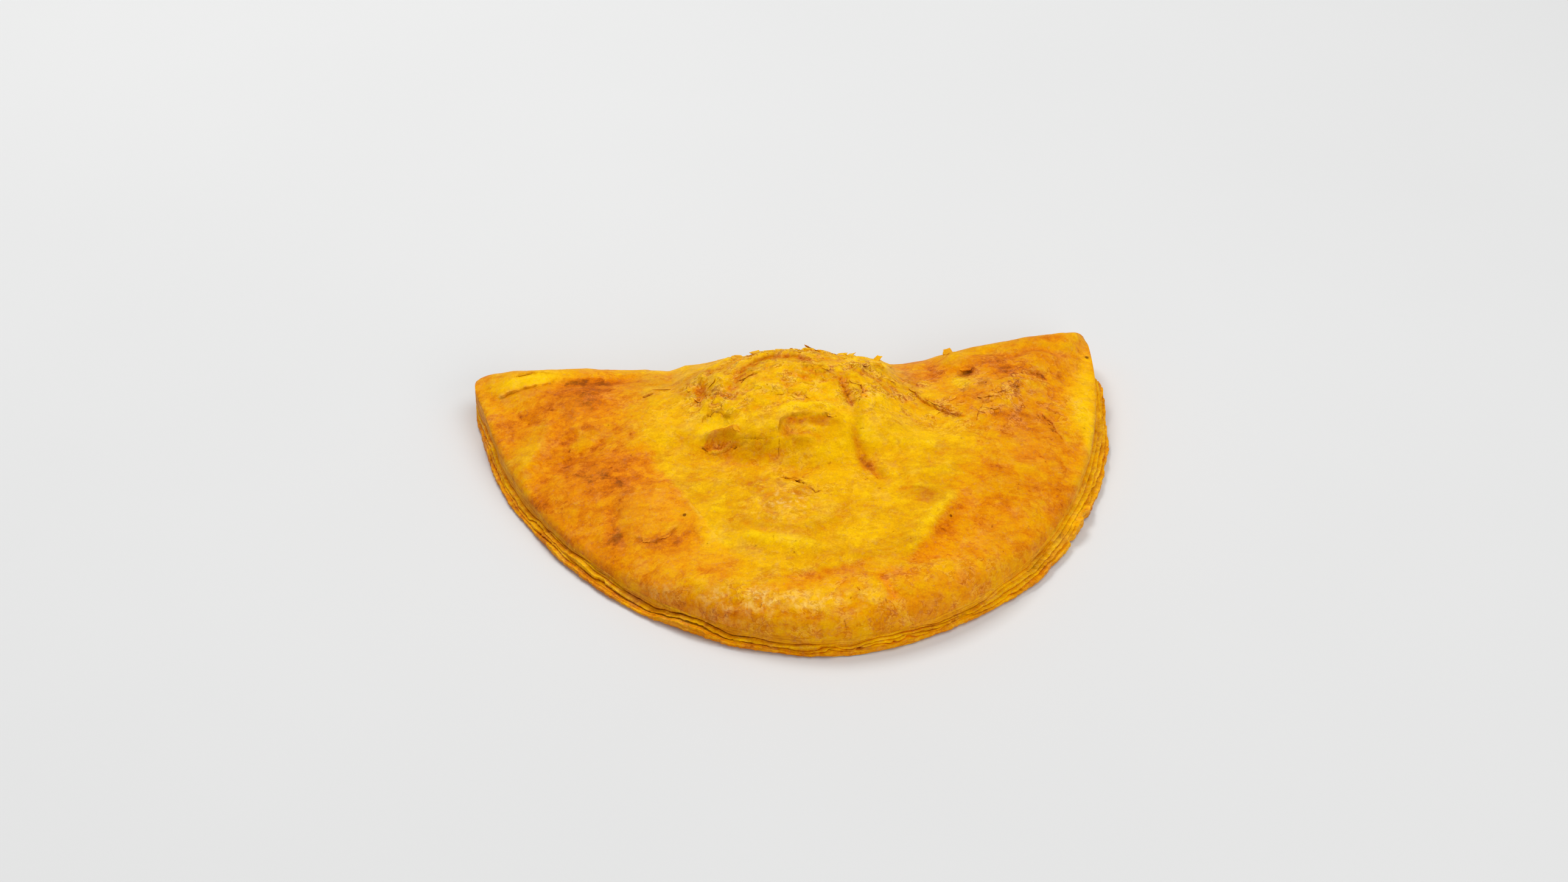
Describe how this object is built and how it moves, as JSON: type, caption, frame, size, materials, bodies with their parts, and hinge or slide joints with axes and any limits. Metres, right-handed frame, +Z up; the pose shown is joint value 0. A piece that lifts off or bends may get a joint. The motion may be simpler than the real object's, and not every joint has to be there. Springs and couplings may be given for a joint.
{
  "type": "jamaican patty",
  "caption": "Half-moon baked turnover of flaky yellow pastry with a folded straight back edge, a sealed curved front edge, a cracked crown and browned blisters, lying flat.",
  "frame": {"origin": "middle of the patty's bounding box, on the flat base it rests on", "axes": "+X along the folded edge, +Y from the curved front edge towards the fold, +Z up"},
  "size_m": [0.1562, 0.0984, 0.0243],
  "materials": {
    "crust": null
  },
  "bodies": {
    "root": {"patty": "crust"}
  },
  "joints": []
}
